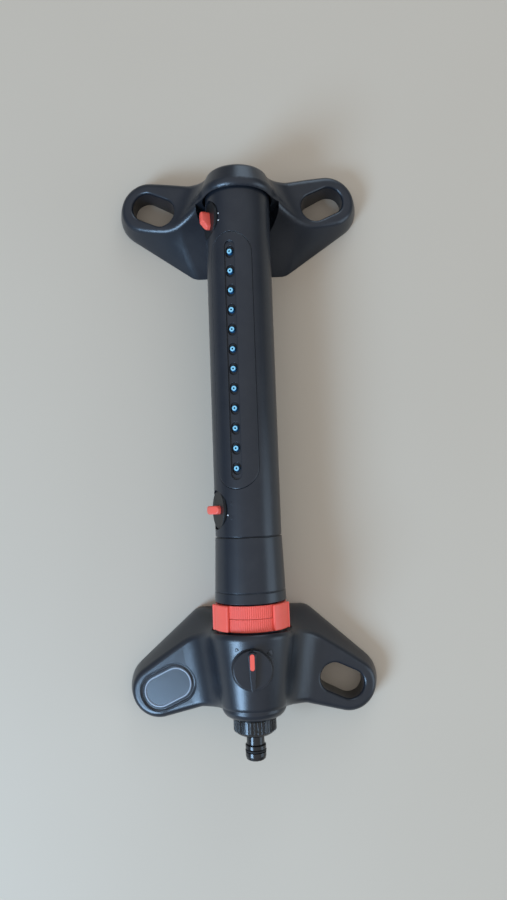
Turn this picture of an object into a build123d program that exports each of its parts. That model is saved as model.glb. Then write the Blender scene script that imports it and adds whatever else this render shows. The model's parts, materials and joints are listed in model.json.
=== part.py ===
"""Oscillating lawn sprinkler: a spray tube that swings between two moulded stands.

Everything is modelled about the tube's axis, which runs along Y at z = 0, with y = 0 at
the ring side of the front hood.  The finished pieces are then lifted onto the ground.
"""

import os
from math import acos, asin, atan2, cos, degrees, hypot, pi, radians, sin, sqrt, tan

from build123d import *

# Driving sizes, in millimetres and degrees
AXIS_HEIGHT = 48.0  # tube axis above the ground
TUBE_R = 26.0  # outside of the spray tube
TUBE_WALL = 2.5
TUBE_LENGTH = 273.7
MOTOR_LENGTH = 49.9  # motor housing between the range rings and the spray tube
REST_SWING = -16.0  # turn of the spray tube in the photograph, nozzles to the left

NOZZLES = 12
NOZZLE_PITCH = 15.33
NOZZLE_R = 2.0
SPRAY_MIDDLE = 136.7  # from the front end of the spray tube to the middle of the nozzle row
PANEL_MARGIN = 15.8  # nozzle panel beyond the last nozzle
PANEL_HALF_ANGLE = 39.3  # seen from the tube axis
CHANNEL_WIDTH = 8.2

RING_WIDTH = 9.6  # one range ring
RING_TAB_PROUD = 4.0  # range tab above the spray tube's outside
RING_TAB_START = 36.0  # tab angles from the top
RING_TAB_END = 72.0
TONGUE_ANGLE = 63.0  # stop tongues that meet the reversing lever
RING_TRAVEL = 33.0

WIDTH_KNOB_R = 15.0
WIDTH_KNOB_SPAN = 231.0  # between the two width knobs
WIDTH_KNOB_ANGLE = 54.0  # from the nozzle row round to the left
WIDTH_KNOB_FACE = 24.4  # flat face, from the tube axis
WIDTH_TRAVEL = 90.0
REAR_KNOB_STATE = 80.0  # how far the rear width knob is turned in the photograph
CRANK_THROW = 4.5
CRANK_PIN_R = 1.5

FLOW_KNOB_R = 14.5
FLOW_KNOB_Y = -23.9
FLOW_TRAVEL = 45.0  # each way
VALVE_PLUG_R = 10.0

SPINDLE_R = 11.0
WATERWAY_R = 5.5
THREAD_R = 13.2  # three-quarter-inch tap thread
NOSE_R = 8.0  # hose plug nose
NOSE_LENGTH = 18.7
CONNECTOR_R = 16.6

STAND_WALL = 3.0
HOOD_PROUD = 7.5  # front hood above the spray tube at the ring end
HOOD_SLOPE = 0.14  # how fast the front hood narrows towards the hose
REAR_HOOD_PROUD = 7.0
REAR_HOOD_SLOPE = 0.45
REAR_HOOD_GAP = 2.2  # rear hood round the tube
WING_SLOPE = 13.7
WING_X = 60.0  # the wing's top passes this far out
WING_Z = 27.5  # at this height above the ground
FLANK_R = 36.0  # hollow curve from the hood down to the wing
EDGE_R = 5.5
HOLE_EDGE_R = 2.4
HOLE_LENGTH = 38.0  # carrying hole in a wing
HOLE_WIDTH = 23.0
HOLE_X = 72.0
HOLE_IN = 2.4  # carrying holes nearer the sprinkler's middle than the wing tips
HOLE_TILT = 27.0
BADGE_X = 69.8
BADGE_LENGTH = 49.0  # recess for the bare badge plate
BADGE_WIDTH = 32.5
BADGE_MARGIN = 3.6  # recess round the plate
BADGE_DEPTH = 1.8
BADGE_PLATE = 1.3

# Spaces left between pieces
RUN_GAP = 0.08  # shaft in its bearing
TURN_GAP = 0.3  # turning or sliding faces
SEAT_GAP = 0.15  # fixed piece in its seat
SCREW_R = 1.5
SCREW_HEAD_R = 3.0
SCREW_GAP = 0.1

# Plan outlines of a stand at rising heights above the ground.  Each row gives the height,
# the inner edge's half length and place, the wing tip's centre and radius, and the outer
# edge's half length and place.  Places are measured outwards from the carrying holes.
FRONT_PLAN = (
    (0.0, 46.0, -62.3, 78.5, 0.0, 25.0, 42.0, 18.0),
    (18.0, 40.0, -59.0, 78.0, 1.5, 21.5, 42.0, 14.5),
    (34.0, 33.0, -54.3, 75.0, 2.0, 17.5, 41.0, 11.5),
    (60.0, 28.0, -53.1, 67.0, 1.5, 12.0, 37.0, 8.5),
    (88.0, 25.0, -51.3, 60.0, 0.0, 7.0, 33.0, 4.0),
)
REAR_PLAN = (
    (0.0, 40.0, -57.0, 78.5, 0.0, 25.0, 40.0, 21.0),
    (16.0, 46.0, -38.0, 77.5, 0.5, 22.5, 40.0, 18.0),
    (32.0, 48.0, -21.5, 74.0, 1.0, 19.0, 40.0, 14.0),
    (60.0, 36.0, -10.0, 66.0, 1.0, 12.0, 36.0, 12.0),
    (88.0, 30.0, -8.0, 60.0, 0.5, 7.0, 32.0, 9.0),
)
PLAN_CORNER_R = 14.0

# Stations along the tube axis
GROUND = -AXIS_HEIGHT
WALL_BACK = -5.0
WALL_FRONT = -0.7
FLANGE = 2.3
RING_START = WALL_FRONT + FLANGE + TURN_GAP
RING_MIDDLE = RING_START + RING_WIDTH
RING_SECOND = RING_MIDDLE + TURN_GAP
RING_END = RING_SECOND + RING_WIDTH
MOTOR_START = RING_END + 3 * TURN_GAP
MOTOR_END = MOTOR_START + MOTOR_LENGTH
TUBE_END = MOTOR_END + TUBE_LENGTH
SPRAY_Y = MOTOR_END + SPRAY_MIDDLE
FIRST_NOZZLE = SPRAY_Y - (NOZZLES - 1) / 2 * NOZZLE_PITCH
LAST_NOZZLE = SPRAY_Y + (NOZZLES - 1) / 2 * NOZZLE_PITCH
FRONT_KNOB_Y = SPRAY_Y - WIDTH_KNOB_SPAN / 2
REAR_KNOB_Y = SPRAY_Y + WIDTH_KNOB_SPAN / 2
FRONT_HOLE_Y = FRONT_PLAN[-1][2]
CAP_FLANGE = 2.5
CAP_END = TUBE_END + CAP_FLANGE
REAR_HOLE_Y = CAP_END + 4.0
REAR_WALL = CAP_END + 5 * TURN_GAP
BUSH_LENGTH = 7.5
TUBE_BORE = TUBE_R - TUBE_WALL
FRONT_HOOD_R = TUBE_R + HOOD_PROUD
REAR_HOOD_R = TUBE_R + REAR_HOOD_PROUD
HOOD_END = FRONT_HOLE_Y - 14.0


def rod(radius, y0, y1, x=0.0, z=0.0):
    """Solid cylinder along Y."""
    return Pos(x, (y0 + y1) / 2, z) * Rot(-90, 0, 0) * Cylinder(radius, y1 - y0)


def sleeve(outer, inner, y0, y1, x=0.0, z=0.0):
    """Hollow cylinder along Y."""
    return rod(outer, y0, y1, x, z) - rod(inner, y0, y1, x, z)


def post(radius, z0, z1, x=0.0, y=0.0):
    """Solid cylinder along Z."""
    return Pos(x, y, (z0 + z1) / 2) * Cylinder(radius, z1 - z0)


def block(x0, x1, y0, y1, z0, z1):
    """Box between two corners."""
    return Pos((x0 + x1) / 2, (y0 + y1) / 2, (z0 + z1) / 2) * Box(x1 - x0, y1 - y0, z1 - z0)


def turned(*points):
    """Solid turned about the tube axis from (radius, y) points."""
    return revolve(make_face(Polyline(*points, close=True)), Axis.Y)


def polar(radius, angle, y):
    """Point at an angle from the top of the tube, positive to the right."""
    return (radius * sin(radians(angle)), y, radius * cos(radians(angle)))


def sector(inner, outer, y0, y1, start, end):
    """Part of a hollow cylinder between two angles from the top."""
    middle = (start + end) / 2
    edges = [
        ThreePointArc(polar(outer, start, y0), polar(outer, middle, y0), polar(outer, end, y0)),
        Line(polar(outer, end, y0), polar(inner, end, y0)),
        ThreePointArc(polar(inner, end, y0), polar(inner, middle, y0), polar(inner, start, y0)),
        Line(polar(inner, start, y0), polar(outer, start, y0)),
    ]
    return extrude(Face(Wire(edges)), amount=y1 - y0, dir=(0, 1, 0))


def slot_prism(length, width, z0, z1):
    """Upright prism with round ends, its length along Y."""
    face = Pos(0, 0, z0) * Rot(0, 0, 90) * SlotOverall(length, width)
    return extrude(face, amount=z1 - z0, dir=(0, 0, 1))


def seal_ring(outer, thickness, y):
    """Round sealing ring about the tube axis."""
    return Pos(0, y, 0) * Rot(90, 0, 0) * Torus(outer - thickness / 2, thickness / 2)


def one(shape):
    """The single solid in a result."""
    return shape.solids()[0]


# Stands


def plan_outline(row, inset):
    """Plan outline of a stand at one height, moved inwards by inset."""
    height, inner, inner_y, tip_x, tip_y, tip_r, outer, outer_y = row
    z = GROUND + height
    inner = inner - 0.3 * inset
    inner_y = inner_y + inset
    outer_y = outer_y - inset
    tip_r = tip_r - inset
    inner_far = hypot(inner - tip_x, inner_y - tip_y)
    outer_far = hypot(outer - tip_x, outer_y - tip_y)
    leave = atan2(inner_y - tip_y, inner - tip_x) + acos(tip_r / inner_far)
    reach = atan2(outer_y - tip_y, outer - tip_x) - acos(tip_r / outer_far)
    middle = (leave + reach) / 2

    def on_tip(angle, side):
        return (side * (tip_x + tip_r * cos(angle)), tip_y + tip_r * sin(angle), z)

    edges = [
        Line((-inner, inner_y, z), (inner, inner_y, z)),
        Line((inner, inner_y, z), on_tip(leave, 1)),
        ThreePointArc(on_tip(leave, 1), on_tip(middle, 1), on_tip(reach, 1)),
        Line(on_tip(reach, 1), (outer, outer_y, z)),
        Line((outer, outer_y, z), (-outer, outer_y, z)),
        Line((-outer, outer_y, z), on_tip(reach, -1)),
        ThreePointArc(on_tip(reach, -1), on_tip(middle, -1), on_tip(leave, -1)),
        Line(on_tip(leave, -1), (-inner, inner_y, z)),
    ]
    wire = Wire(edges)
    for x, y in ((inner, inner_y), (outer, outer_y)):
        corners = [v for v in wire.vertices() if hypot(abs(v.X) - x, v.Y - y) < 0.001]
        wire = wire.fillet_2d(PLAN_CORNER_R, corners)
    return wire


def front_view(y, hood_r, drop):
    """Front view of a stand at station y: round hood, hollow flanks and sloping wings."""
    slope = radians(WING_SLOPE)
    radius = hood_r - drop
    hollow = FLANK_R + drop
    lift = hollow - drop
    start_x = WING_X + sin(slope) * lift
    start_z = GROUND + WING_Z + cos(slope) * lift
    along = start_x * cos(slope) - start_z * sin(slope)
    spare = start_x**2 + start_z**2 - (radius + hollow) ** 2
    shift = sqrt(along**2 - spare) - along
    centre_x = start_x + shift * cos(slope)
    centre_z = start_z - shift * sin(slope)
    hood_x = centre_x * radius / (radius + hollow)
    hood_z = centre_z * radius / (radius + hollow)
    wing_x = centre_x - hollow * sin(slope)
    wing_z = centre_z - hollow * cos(slope)
    low = atan2(wing_z - centre_z, wing_x - centre_x) % (2 * pi)
    high = atan2(hood_z - centre_z, hood_x - centre_x) % (2 * pi)
    bend_x = centre_x + hollow * cos((low + high) / 2)
    bend_z = centre_z + hollow * sin((low + high) / 2)
    far = HOLE_X + HOLE_LENGTH
    far_z = wing_z - (far - wing_x) * tan(slope)
    edges = [
        Line((-far, y, GROUND), (far, y, GROUND)),
        Line((far, y, GROUND), (far, y, far_z)),
        Line((far, y, far_z), (wing_x, y, wing_z)),
        ThreePointArc((wing_x, y, wing_z), (bend_x, y, bend_z), (hood_x, y, hood_z)),
        ThreePointArc((hood_x, y, hood_z), (0, y, radius), (-hood_x, y, hood_z)),
        ThreePointArc((-hood_x, y, hood_z), (-bend_x, y, bend_z), (-wing_x, y, wing_z)),
        Line((-wing_x, y, wing_z), (-far, y, far_z)),
        Line((-far, y, far_z), (-far, y, GROUND)),
    ]
    return Wire(edges)


def stand_views(plan, hood_r, slope, drop):
    """Front view carried through the depth of a stand, drop below its skin."""
    views = []
    for y in (plan[0][2] - STAND_WALL, plan[0][4] + plan[0][5] + STAND_WALL):
        views.append(front_view(y, hood_r - slope * (y - plan[-1][2]), drop))
    return Solid.make_loft(views, True)


def stand_block(plan, hood_r, slope, inset):
    """Solid stand, or with an inset its hollow, with outwards along +Y."""
    sides = Solid.make_loft([plan_outline(row, inset) for row in plan], False)
    return one(sides & stand_views(plan, hood_r, slope, inset))


def top_edges(shape):
    """Edges between a stand's sides and its top."""
    edges = []
    for edge in shape.edges():
        box = edge.bounding_box()
        seam = box.size.X < 0.05
        lengthwise = box.size.Y > 15 and box.size.X < 0.62 * box.size.Y and abs(edge.center().X) < HOLE_X - 5
        if box.min.Z > GROUND + 1 and not seam and not lengthwise:
            edges.append(edge)
    return edges


def wing_prism(x, length, width):
    """Upright prism over a wing, tilted with its inner end towards the sprinkler's middle."""
    prism = slot_prism(length, width, GROUND - 1, GROUND + WING_Z + HOLE_WIDTH)
    tilt = HOLE_TILT if x > 0 else -HOLE_TILT
    return Pos(x, -HOLE_IN, 0) * Rot(0, 0, tilt - 90) * prism


def hole_rim(shape, side):
    """Upper edges of a carrying hole."""
    room = wing_prism(side * HOLE_X, HOLE_LENGTH + 1, HOLE_WIDTH + 1).bounding_box()
    edges = []
    for edge in shape.edges():
        box = edge.bounding_box()
        across = box.min.X > room.min.X and box.max.X < room.max.X
        along = box.min.Y > room.min.Y and box.max.Y < room.max.Y
        if across and along and box.min.Z > GROUND + 1 and edge.length > HOLE_WIDTH / 2:
            edges.append(edge)
    return edges


def stand_shell(plan, hood_r, slope, holes):
    """Hollow stand with round top edges, collared carrying holes and stiffening ribs."""
    outer = stand_block(plan, hood_r, slope, 0.0)
    outer = one(outer.fillet(EDGE_R, top_edges(outer)))
    solid = outer
    for side in holes:
        outer = one(outer - wing_prism(side * HOLE_X, HOLE_LENGTH, HOLE_WIDTH))
        outer = one(outer.fillet(HOLE_EDGE_R, hole_rim(outer, side)))
    hollow = stand_block(plan, hood_r, slope, STAND_WALL)
    kept = []
    for side in holes:
        kept.append(wing_prism(side * HOLE_X, HOLE_LENGTH + 2 * STAND_WALL, HOLE_WIDTH + 2 * STAND_WALL))
    inner_y = plan[0][2]
    outer_y = plan[0][7]
    lift = GROUND + STAND_WALL / 2
    for x in (-HOLE_X, -HOLE_X / 1.6, HOLE_X / 1.6, HOLE_X):
        kept.append(block(x - 1, x + 1, inner_y, outer_y + STAND_WALL, lift, FRONT_HOOD_R))
    for y in (inner_y / 2, 0.0):
        for side in (-1, 1):
            start = side * HOLE_X / 2
            end = side * (HOLE_X + HOLE_LENGTH)
            kept.append(block(min(start, end), max(start, end), y - 1, y + 1, lift, FRONT_HOOD_R))
    for piece in kept:
        hollow = hollow - piece
    return outer - hollow, solid


def knob_place(y):
    """Frame of a width knob: Z along its spindle, Y along the tube, X towards the nozzles."""
    return Pos(0, y, 0) * Rot(0, -WIDTH_KNOB_ANGLE, 0)


def swung(shape):
    """Spray-tube piece turned to its place in the photograph."""
    return Rot(0, REST_SWING, 0) * shape


pieces = {}

# Front stand, with the hood over the valve and a recess for the range rings
front_solid_turn = Pos(0, FRONT_HOLE_Y, 0) * Rot(0, 0, 180)
shell, solid = stand_shell(FRONT_PLAN, FRONT_HOOD_R, HOOD_SLOPE, (-1,))
badge_cut = wing_prism(BADGE_X, BADGE_LENGTH, BADGE_WIDTH)
badge_body = wing_prism(BADGE_X, BADGE_LENGTH - 2 * BADGE_MARGIN, BADGE_WIDTH - 2 * BADGE_MARGIN)
badge_floor = stand_views(FRONT_PLAN, FRONT_HOOD_R, HOOD_SLOPE, BADGE_DEPTH)
badge_top = stand_views(FRONT_PLAN, FRONT_HOOD_R, HOOD_SLOPE, BADGE_DEPTH - BADGE_PLATE)
shell = shell - (badge_cut - badge_floor)
badge = (badge_body & badge_top) - badge_floor
shell = front_solid_turn * shell
solid = front_solid_turn * solid
pieces["badge_plate"] = front_solid_turn * badge

CHIN_END_R = CONNECTOR_R - 0.6
CHIN_START = FRONT_HOLE_Y - 1.0
CHIN_BEND = HOOD_END + 6.0
CHIN_R = FRONT_HOOD_R + HOOD_SLOPE * CHIN_BEND - TURN_GAP


def chin(inset):
    """Rounded end of the front hood round the hose thread."""
    bend = (CHIN_R - inset - 2.6, HOOD_END + 1.8 + inset)
    edges = [
        Line((0, CHIN_START), (CHIN_R - inset, CHIN_START)),
        Line((CHIN_R - inset, CHIN_START), (CHIN_R - inset, CHIN_BEND)),
        ThreePointArc((CHIN_R - inset, CHIN_BEND), bend, (CHIN_END_R - inset, HOOD_END + inset)),
        Line((CHIN_END_R - inset, HOOD_END + inset), (0, HOOD_END + inset)),
        Line((0, HOOD_END + inset), (0, CHIN_START)),
    ]
    return revolve(Face(Wire(edges)), Axis.Y)


RECESS_R = TUBE_R + RING_TAB_PROUD + 5 * TURN_GAP
PEDESTAL_R = FLOW_KNOB_R + 1.2
hood_at_knob = FRONT_HOOD_R + HOOD_SLOPE * FLOW_KNOB_Y
PEDESTAL_TOP = hood_at_knob + 0.6
valve_room = rod(CHIN_R - STAND_WALL, CHIN_START - 4, WALL_BACK)
stand = shell + (chin(0.0) - chin(STAND_WALL))
stand = stand + (solid & rod(RECESS_R + STAND_WALL, WALL_BACK, RING_END))
pedestal = post(PEDESTAL_R, hood_at_knob - STAND_WALL - 1, PEDESTAL_TOP, 0, FLOW_KNOB_Y)
stand = stand + (pedestal - post(VALVE_PLUG_R / 2 + TURN_GAP, 0, PEDESTAL_TOP, 0, FLOW_KNOB_Y))
stand = stand - post(VALVE_PLUG_R / 2 + TURN_GAP, 0, PEDESTAL_TOP + 1, 0, FLOW_KNOB_Y)
stand = stand - post(PEDESTAL_R, PEDESTAL_TOP, FRONT_HOOD_R + 1, 0, FLOW_KNOB_Y)
stand = stand - valve_room
stand = stand - rod(RECESS_R, WALL_FRONT, RING_END + MOTOR_LENGTH)
stand = stand - rod(SPINDLE_R + SEAT_GAP, WALL_BACK - 1, WALL_FRONT + 1)
stand = stand - rod(THREAD_R + SEAT_GAP, HOOD_END - 1, CHIN_START)
SCREW_CIRCLE = (SPINDLE_R + TUBE_BORE) / 2
screw_angles = (60, 180, 300)
for angle in screw_angles:
    x, _, z = polar(SCREW_CIRCLE, angle, 0)
    stand = stand - rod(SCREW_R + SCREW_GAP, WALL_BACK - 1, WALL_FRONT + 1, x, z)
pieces["front_stand"] = stand

# Water inlet: hose plug, strainer, flow valve and the fixed spindle
THREAD_END = HOOD_END - 10.1
VALVE_BARREL_R = THREAD_R - 0.7
VALVE_LOW = -VALVE_PLUG_R - 7.0
VALVE_HIGH = hood_at_knob - STAND_WALL - 8.0
SOCKET_DEPTH = 8.0
SPINDLE_FOOT_R = SPINDLE_R - 2.0
CHAMBER_R = VALVE_PLUG_R + TURN_GAP
valve = rod(VALVE_BARREL_R, HOOD_END, WALL_BACK - FLANGE)
valve = valve + rod(THREAD_R, THREAD_END, HOOD_END + 3)
valve = valve + rod(SCREW_CIRCLE + SCREW_HEAD_R + 1, WALL_BACK - FLANGE, WALL_BACK)
valve = valve + post(CHAMBER_R + STAND_WALL, VALVE_LOW - STAND_WALL, VALVE_HIGH, 0, FLOW_KNOB_Y)
valve = valve - rod(WATERWAY_R + 1, THREAD_END, WALL_BACK - SOCKET_DEPTH)
valve = valve - rod(WATERWAY_R + STAND_WALL, THREAD_END, HOOD_END + 8)
valve = valve - rod(SPINDLE_FOOT_R, WALL_BACK - SOCKET_DEPTH, WALL_BACK)
valve = valve - post(CHAMBER_R, VALVE_LOW, VALVE_HIGH, 0, FLOW_KNOB_Y)
for angle in screw_angles:
    x, _, z = polar(SCREW_CIRCLE, angle, 0)
    valve = valve - rod(SCREW_R, WALL_BACK - FLANGE, WALL_BACK, x, z)
pieces["valve_body"] = valve

CAP_PLATE = 3.0
stem_hole = post(VALVE_PLUG_R / 2 + TURN_GAP, VALVE_HIGH, VALVE_HIGH + CAP_PLATE, 0, FLOW_KNOB_Y)
cap = post(CHAMBER_R + STAND_WALL, VALVE_HIGH, VALVE_HIGH + CAP_PLATE, 0, FLOW_KNOB_Y)
pieces["valve_cap"] = cap - stem_hole

STRAINER_R = WATERWAY_R + STAND_WALL
strainer_end = HOOD_END + 8
mesh_start = THREAD_END + 3
strainer = rod(STRAINER_R, THREAD_END, THREAD_END + 2)
strainer = strainer + rod(STRAINER_R - 1.5, THREAD_END, strainer_end - 2)
strainer = strainer - rod(STRAINER_R - 2.7, THREAD_END, strainer_end - 3.2)
for row in range(4):
    y = mesh_start + 1.6 + 3.4 * row
    for turn in (0, 45, 90, 135):
        window = Rot(0, turn, 0) * block(-STRAINER_R, STRAINER_R, y - 0.9, y + 0.9, -1.3, 1.3)
        strainer = strainer - window
pieces["inlet_strainer"] = strainer

NUT_END = THREAD_END - 2.0
NOSE_START = NUT_END - 2.6
NOSE_TIP = NOSE_START - NOSE_LENGTH
NECK_R = NOSE_R - 1.1
neck_end = NOSE_START - NOSE_LENGTH * 0.36
groove_y = NOSE_START - NOSE_LENGTH * 0.62
tip_start = NOSE_TIP + 3.0
connector = turned(
    (WATERWAY_R, NOSE_TIP),
    (NOSE_R - 1.6, NOSE_TIP),
    (NOSE_R - 0.5, NOSE_TIP + 0.9),
    (NOSE_R, tip_start),
    (NOSE_R, groove_y - 1.2),
    (NOSE_R - 1.6, groove_y - 1.2),
    (NOSE_R - 1.6, groove_y + 1.2),
    (NOSE_R, groove_y + 1.2),
    (NOSE_R, neck_end - 0.8),
    (NECK_R, neck_end),
    (NECK_R, NOSE_START + 0.2),
    (CONNECTOR_R - 4.2, NOSE_START + 1.0),
    (CONNECTOR_R - 2.0, NOSE_START + 2.4),
    (CONNECTOR_R - 0.6, NOSE_START + 4.2),
    (CONNECTOR_R - 0.6, HOOD_END - 1.2),
    (CONNECTOR_R - 1.4, HOOD_END - 0.4),
    (THREAD_R, HOOD_END - 0.4),
    (THREAD_R, NUT_END),
    (WATERWAY_R, NUT_END),
)
GRIP_RIBS = 36
for index in range(GRIP_RIBS):
    rib = block(-0.6, 0.6, NOSE_START + 4.0, HOOD_END - 1.6, THREAD_R + 1, CONNECTOR_R)
    connector = connector + Rot(0, 360 / GRIP_RIBS * index, 0) * rib
pieces["hose_connector"] = connector
pieces["connector_washer"] = sleeve(THREAD_R, WATERWAY_R, NUT_END, THREAD_END)
pieces["nose_seal"] = seal_ring(NOSE_R + 0.2, 1.8, groove_y)

# Spindle: carries the water into the motor and holds the fixed gear still
FRONT_WALL = 8.0  # thickness of the motor housing's front wall
PLANE_ONE = MOTOR_START + FRONT_WALL + 2.4
GEAR_WIDTH = 4.0
CLIP_START = MOTOR_START + FRONT_WALL + TURN_GAP
CLIP_END = CLIP_START + 1.0
GEAR_BORE = SPINDLE_R - 3.4
SEAL_Y = MOTOR_START + FRONT_WALL / 2
spindle = rod(SPINDLE_R, WALL_BACK, PLANE_ONE) + rod(SPINDLE_FOOT_R, WALL_BACK - SOCKET_DEPTH, WALL_BACK)
spindle = spindle + rod(GEAR_BORE, PLANE_ONE, PLANE_ONE + GEAR_WIDTH)
spindle = spindle - rod(WATERWAY_R, WALL_BACK - SOCKET_DEPTH, PLANE_ONE + GEAR_WIDTH)
spindle = spindle - sleeve(SPINDLE_R + 1, SPINDLE_R - 1.0, CLIP_START, CLIP_END)
spindle = spindle - sleeve(SPINDLE_R + 1, SPINDLE_R - 1.6, SEAL_Y - 1.1, SEAL_Y + 1.1)
pieces["inlet_spindle"] = spindle
pieces["spindle_seal"] = seal_ring(SPINDLE_R + RUN_GAP / 2, 1.6, SEAL_Y)
clip = sleeve(SPINDLE_R + 1.6, SPINDLE_R - 1.0, CLIP_START, CLIP_END)
pieces["spindle_clip"] = clip - block(-2.5, 2.5, CLIP_START, CLIP_END, 0, SPINDLE_R * 2)

# Range rings on their carrier.  Each ring's tab reaches over both bands.
RING_BORE = TUBE_BORE + TURN_GAP
BAND_R = TUBE_R + 1.6
TAB_R = TUBE_R + RING_TAB_PROUD
TONGUE_R = RING_BORE + 1.2
STOP_ROOM = TONGUE_R + 1.3 * TURN_GAP
carrier = rod(TUBE_BORE, WALL_FRONT, RING_END) + rod(BAND_R - 1.2, WALL_FRONT, WALL_FRONT + FLANGE)
carrier = carrier - rod(SPINDLE_R, WALL_FRONT, RING_END)
screws = []
SCREW_TOP = RING_END - 2.5
SCREW_SINK = SCREW_TOP - 2.2
for angle in screw_angles:
    x, _, z = polar(SCREW_CIRCLE, angle, 0)
    carrier = carrier - rod(SCREW_R + SCREW_GAP, WALL_FRONT, SCREW_SINK, x, z)
    carrier = carrier - rod(SCREW_HEAD_R + SEAT_GAP, SCREW_SINK, RING_END, x, z)
    screw = rod(SCREW_R, WALL_BACK - FLANGE, SCREW_SINK, x, z)
    screw = screw + rod(SCREW_HEAD_R, SCREW_SINK, SCREW_TOP, x, z)
    screw = screw - block(x - 0.4, x + 0.4, SCREW_TOP - 1, SCREW_TOP, z - 2.2, z + 2.2)
    screw = screw - block(x - 2.2, x + 2.2, SCREW_TOP - 1, SCREW_TOP, z - 0.4, z + 0.4)
    screws.append(one(screw))
pieces["range_carrier"] = carrier
pieces["carrier_screws"] = Compound(screws)

LIP_R = 1.2
LIP_FAR = TAB_R + TURN_GAP / 2 - LIP_R / 4
GROOVE_STEP = 3.4
GROOVE_R = 0.45
TONGUE_END = MOTOR_START + 3.4


def range_tab(side):
    """Finger tab over both bands, on the given side."""
    start = min(side * RING_TAB_START, side * RING_TAB_END)
    end = max(side * RING_TAB_START, side * RING_TAB_END)
    tab = sector(BAND_R + TURN_GAP, TAB_R, RING_START, RING_END, start, end)
    upper = [e for e in tab.edges() if hypot(e.center().X, e.center().Z) > BAND_R + 1]
    x, _, z = polar(LIP_FAR, side * RING_TAB_END, 0)
    lip = rod(LIP_R, RING_START, RING_END, x, z)
    return tab.fillet(1.0, upper) + lip.fillet(0.8, lip.edges().filter_by(GeomType.CIRCLE))


def range_ring(side, y0, y1):
    """Ribbed band with its tab and the tongue that meets the reversing lever."""
    ring = sleeve(BAND_R, RING_BORE, y0, y1)
    angle = side * TONGUE_ANGLE
    start = min(side * RING_TAB_START, side * RING_TAB_END)
    end = max(side * RING_TAB_START, side * RING_TAB_END)
    for index in range(28):
        place = polar(BAND_R + 0.1, -side * (index * GROOVE_STEP - RING_TAB_START + 4), 0)
        ring = ring - rod(GROOVE_R, y0, y1, place[0], place[2])
    ring = ring + sector(RING_BORE + 1, BAND_R + 2 * TURN_GAP, y0, y1, start + 1, end - 1)
    ring = ring + range_tab(side)
    return ring + sector(RING_BORE + 0.1, TONGUE_R, y0 + 1, TONGUE_END, angle - 4, angle + 4)


right_ring = range_ring(1, RING_START, RING_MIDDLE)
left_ring = range_ring(-1, RING_SECOND, RING_END)
relief_start = TONGUE_ANGLE - RING_TRAVEL * 2 - 8
relief = sector(RING_BORE - 1, TONGUE_R + TURN_GAP, RING_MIDDLE, RING_END + 1, relief_start, TONGUE_ANGLE + 8)
pieces["range_ring_right"] = right_ring
pieces["range_ring_left"] = left_ring - relief

# Motor housing
FLARE = 2.0
MOTOR_BORE = TUBE_BORE - 0.3
SPIGOT = 3.4
SEAM_WIDTH = 1.2  # groove where the spray tube meets the housing
SEAM_DEPTH = 0.9
housing = turned(
    (SPINDLE_R + RUN_GAP, MOTOR_START),
    (TUBE_R + FLARE - 0.5, MOTOR_START),
    (TUBE_R + FLARE, MOTOR_START + 0.5),
    (TUBE_R + FLARE - 0.3, MOTOR_START + 7.6),
    (TUBE_R + FLARE - 0.8, MOTOR_START + 8.0),
    (TUBE_R + FLARE - 0.8, MOTOR_START + 8.4),
    (TUBE_R + FLARE - 0.4, MOTOR_START + 8.8),
    (TUBE_R + 0.25, MOTOR_END - SEAM_WIDTH / 2),
    (TUBE_R - SEAM_DEPTH, MOTOR_END - SEAM_WIDTH / 2),
    (TUBE_R - SEAM_DEPTH, MOTOR_END),
    (TUBE_BORE, MOTOR_END),
    (TUBE_BORE, MOTOR_END + SPIGOT),
    (TUBE_BORE - 2.0, MOTOR_END + SPIGOT),
    (TUBE_BORE - 2.0, MOTOR_END - 3.0),
    (MOTOR_BORE, MOTOR_END - 4.5),
    (MOTOR_BORE, MOTOR_START + FRONT_WALL),
    (SPINDLE_R + RUN_GAP, MOTOR_START + FRONT_WALL),
)
LEVER_PIVOT = SPINDLE_R + 4.0
LEVER_TIP = RING_BORE - 3 * TURN_GAP
ROOM_DEPTH = 5.4
ROOM_FLOOR = MOTOR_START + ROOM_DEPTH
room_inner = LEVER_PIVOT + 4.6
housing = housing - sleeve(STOP_ROOM, room_inner, MOTOR_START, ROOM_FLOOR)
housing = housing - sector(SPINDLE_R + 1.2, room_inner + 1, MOTOR_START, ROOM_FLOOR, -17, 17)
PIN_R = 1.25
housing = housing - rod(PIN_R, ROOM_FLOOR, MOTOR_START + FRONT_WALL, 0, LEVER_PIVOT)
pieces["motor_housing"] = swung(housing)
lever_start = MOTOR_START + 1.0
lever_end = ROOM_FLOOR - TURN_GAP
lever = rod(2.5, lever_start, lever_end, 0, LEVER_PIVOT)
lever = lever + block(-1.4, 1.4, lever_start, lever_end, LEVER_PIVOT, LEVER_TIP)
lever = lever - rod(PIN_R + RUN_GAP, lever_start, lever_end, 0, LEVER_PIVOT)
pieces["reversing_lever"] = swung(lever)
pieces["lever_pin"] = swung(rod(PIN_R, lever_start, MOTOR_START + FRONT_WALL, 0, LEVER_PIVOT))

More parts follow.
